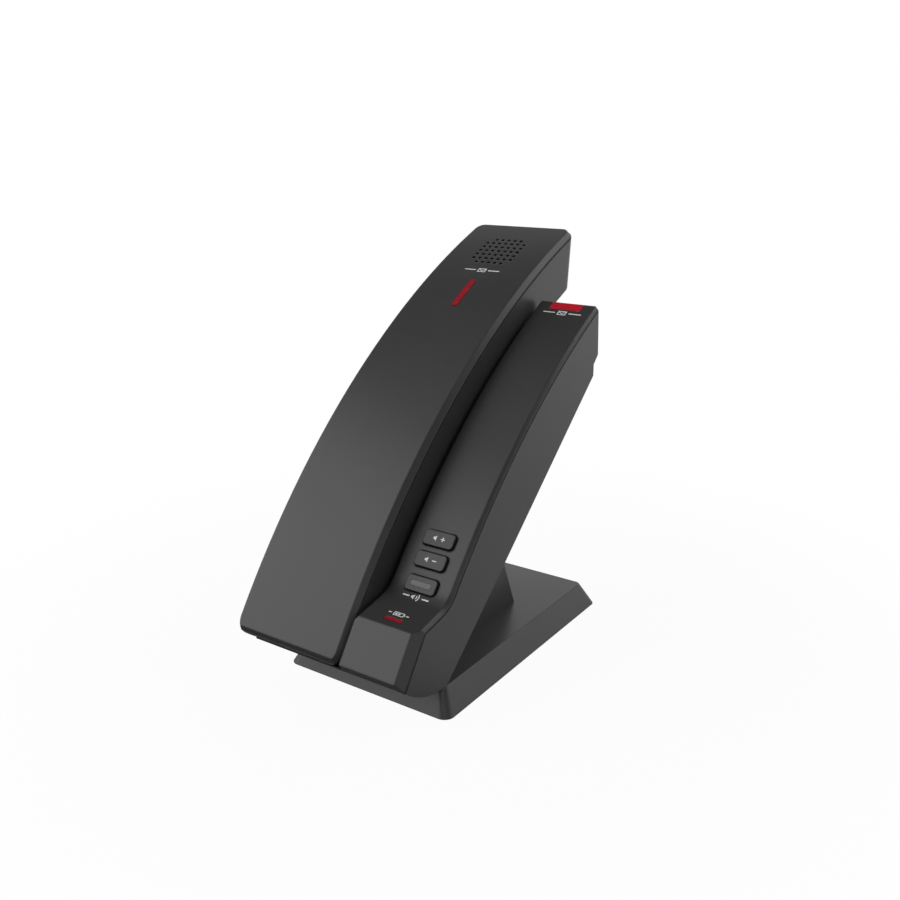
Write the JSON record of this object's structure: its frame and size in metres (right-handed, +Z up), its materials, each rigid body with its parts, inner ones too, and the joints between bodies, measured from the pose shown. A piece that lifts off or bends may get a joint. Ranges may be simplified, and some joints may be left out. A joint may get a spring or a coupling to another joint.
{
  "type": "cordless telephone with base",
  "caption": "Cordless phone: a curved handset lies face down in a leaning base, beside a strip with volume and speaker buttons, on a weighted foot.",
  "frame": {"origin": "middle of the rubber mat under the foot, on the surface that the phone stands on", "axes": "+X to the user's right, +Y to the back, +Z up"},
  "size_m": [0.0821, 0.1628, 0.1524],
  "materials": {
    "ballast": "plain",
    "battery": "shrink wrapped",
    "board": "lacquered board",
    "button": "satin",
    "capsule": "plain",
    "casing": "fine matt grain",
    "casing_under": "matt",
    "cloth": "woven",
    "contact": "nickel plated",
    "handset_casing": "fine matt grain",
    "jack": "satin",
    "key": "satin",
    "keypad_rubber": "silicone",
    "lamp": "clear",
    "loom": "cable sheath",
    "mat": "matt",
    "pale_lens": "milky",
    "red_lens": "clear red",
    "screw": "zinc plated",
    "speaker": "paper cone on a steel basket",
    "switch": "plain"
  },
  "bodies": {
    "base": {"foot_plate": "casing", "foot_cover": "casing_under", "rubber_mat": "mat", "foot_screws": "screw", "ballast_weight": "ballast", "pedestal": "casing", "pedestal_screws": "screw", "line_jack": "jack", "power_jack": "jack", "jack_board": "board", "base_loom": "loom", "message_light": "red_lens", "base_housing": "casing", "charge_light": "red_lens", "base_top_cover": "casing", "base_switches": "switch", "base_lamps": "lamp", "base_circuit_board": "board", "base_loudspeaker": "speaker", "base_microphone": "capsule", "handset_cradle": "casing", "pin_holder": "casing_under", "housing_screws": "screw"},
    "handset": {"handset_outer_shell": "handset_casing", "handset_inner_shell": "handset_casing", "battery_cover": "handset_casing", "handset_screws": "screw", "handset_light": "red_lens", "grille_cloth": "cloth", "ringer": "speaker", "earpiece": "capsule", "keypad_rubber": "keypad_rubber", "handset_circuit_board": "board", "handset_lamp": "lamp", "battery_pack": "battery", "contact_pads": "contact", "handset_microphone": "capsule"},
    "volume_up_button": {"volume_up_button": "button"},
    "volume_down_button": {"volume_down_button": "button"},
    "speaker_button": {"speaker_button": "button", "speaker_light": "pale_lens"},
    "charging_pin_left": {"charging_pin_left": "contact"},
    "charging_pin_right": {"charging_pin_right": "contact"},
    "talk_key": {"talk_key": "key"},
    "redial_key": {"redial_key": "key"},
    "end_key": {"end_key": "key"},
    "key_1": {"key_1": "key"},
    "key_2": {"key_2": "key"},
    "key_3": {"key_3": "key"},
    "key_4": {"key_4": "key"},
    "key_5": {"key_5": "key"},
    "key_6": {"key_6": "key"},
    "key_7": {"key_7": "key"},
    "key_8": {"key_8": "key"},
    "key_9": {"key_9": "key"},
    "key_star": {"key_star": "key"},
    "key_0": {"key_0": "key"},
    "key_hash": {"key_hash": "key"}
  },
  "joints": [
    {"name": "handset_lift", "type": "slide", "parent": "base", "child": "handset", "axis": [0, -0.6428, 0.766], "range_m": [0, 0.15]},
    {"name": "volume_up_button_press", "type": "slide", "parent": "base", "child": "volume_up_button", "axis": [0, 0.7485, -0.6631], "range_m": [0, 0.0005], "stiffness_N_per_m": 600},
    {"name": "volume_down_button_press", "type": "slide", "parent": "base", "child": "volume_down_button", "axis": [0, 0.765, -0.644], "range_m": [0, 0.0005], "stiffness_N_per_m": 600},
    {"name": "speaker_button_press", "type": "slide", "parent": "base", "child": "speaker_button", "axis": [0, 0.7827, -0.6224], "range_m": [0, 0.0005], "stiffness_N_per_m": 600},
    {"name": "charging_pin_left_spring", "type": "slide", "parent": "base", "child": "charging_pin_left", "axis": [0, 0.8147, -0.5798], "range_m": [0, 0.0008], "stiffness_N_per_m": 400},
    {"name": "charging_pin_right_spring", "type": "slide", "parent": "base", "child": "charging_pin_right", "axis": [0, 0.8147, -0.5798], "range_m": [0, 0.0008], "stiffness_N_per_m": 400},
    {"name": "talk_key_press", "type": "slide", "parent": "handset", "child": "talk_key", "axis": [0, -0.5208, 0.8537], "range_m": [0, 0.0008], "stiffness_N_per_m": 400},
    {"name": "redial_key_press", "type": "slide", "parent": "handset", "child": "redial_key", "axis": [0, -0.5208, 0.8537], "range_m": [0, 0.0008], "stiffness_N_per_m": 400},
    {"name": "end_key_press", "type": "slide", "parent": "handset", "child": "end_key", "axis": [0, -0.5208, 0.8537], "range_m": [0, 0.0008], "stiffness_N_per_m": 400},
    {"name": "key_1_press", "type": "slide", "parent": "handset", "child": "key_1", "axis": [0, -0.5527, 0.8334], "range_m": [0, 0.0008], "stiffness_N_per_m": 400},
    {"name": "key_2_press", "type": "slide", "parent": "handset", "child": "key_2", "axis": [0, -0.5527, 0.8334], "range_m": [0, 0.0008], "stiffness_N_per_m": 400},
    {"name": "key_3_press", "type": "slide", "parent": "handset", "child": "key_3", "axis": [0, -0.5527, 0.8334], "range_m": [0, 0.0008], "stiffness_N_per_m": 400},
    {"name": "key_4_press", "type": "slide", "parent": "handset", "child": "key_4", "axis": [0, -0.5839, 0.8118], "range_m": [0, 0.0008], "stiffness_N_per_m": 400},
    {"name": "key_5_press", "type": "slide", "parent": "handset", "child": "key_5", "axis": [0, -0.5839, 0.8118], "range_m": [0, 0.0008], "stiffness_N_per_m": 400},
    {"name": "key_6_press", "type": "slide", "parent": "handset", "child": "key_6", "axis": [0, -0.5839, 0.8118], "range_m": [0, 0.0008], "stiffness_N_per_m": 400},
    {"name": "key_7_press", "type": "slide", "parent": "handset", "child": "key_7", "axis": [0, -0.6143, 0.7891], "range_m": [0, 0.0008], "stiffness_N_per_m": 400},
    {"name": "key_8_press", "type": "slide", "parent": "handset", "child": "key_8", "axis": [0, -0.6143, 0.7891], "range_m": [0, 0.0008], "stiffness_N_per_m": 400},
    {"name": "key_9_press", "type": "slide", "parent": "handset", "child": "key_9", "axis": [0, -0.6143, 0.7891], "range_m": [0, 0.0008], "stiffness_N_per_m": 400},
    {"name": "key_star_press", "type": "slide", "parent": "handset", "child": "key_star", "axis": [0, -0.6437, 0.7653], "range_m": [0, 0.0008], "stiffness_N_per_m": 400},
    {"name": "key_0_press", "type": "slide", "parent": "handset", "child": "key_0", "axis": [0, -0.6437, 0.7653], "range_m": [0, 0.0008], "stiffness_N_per_m": 400},
    {"name": "key_hash_press", "type": "slide", "parent": "handset", "child": "key_hash", "axis": [0, -0.6437, 0.7653], "range_m": [0, 0.0008], "stiffness_N_per_m": 400}
  ]
}
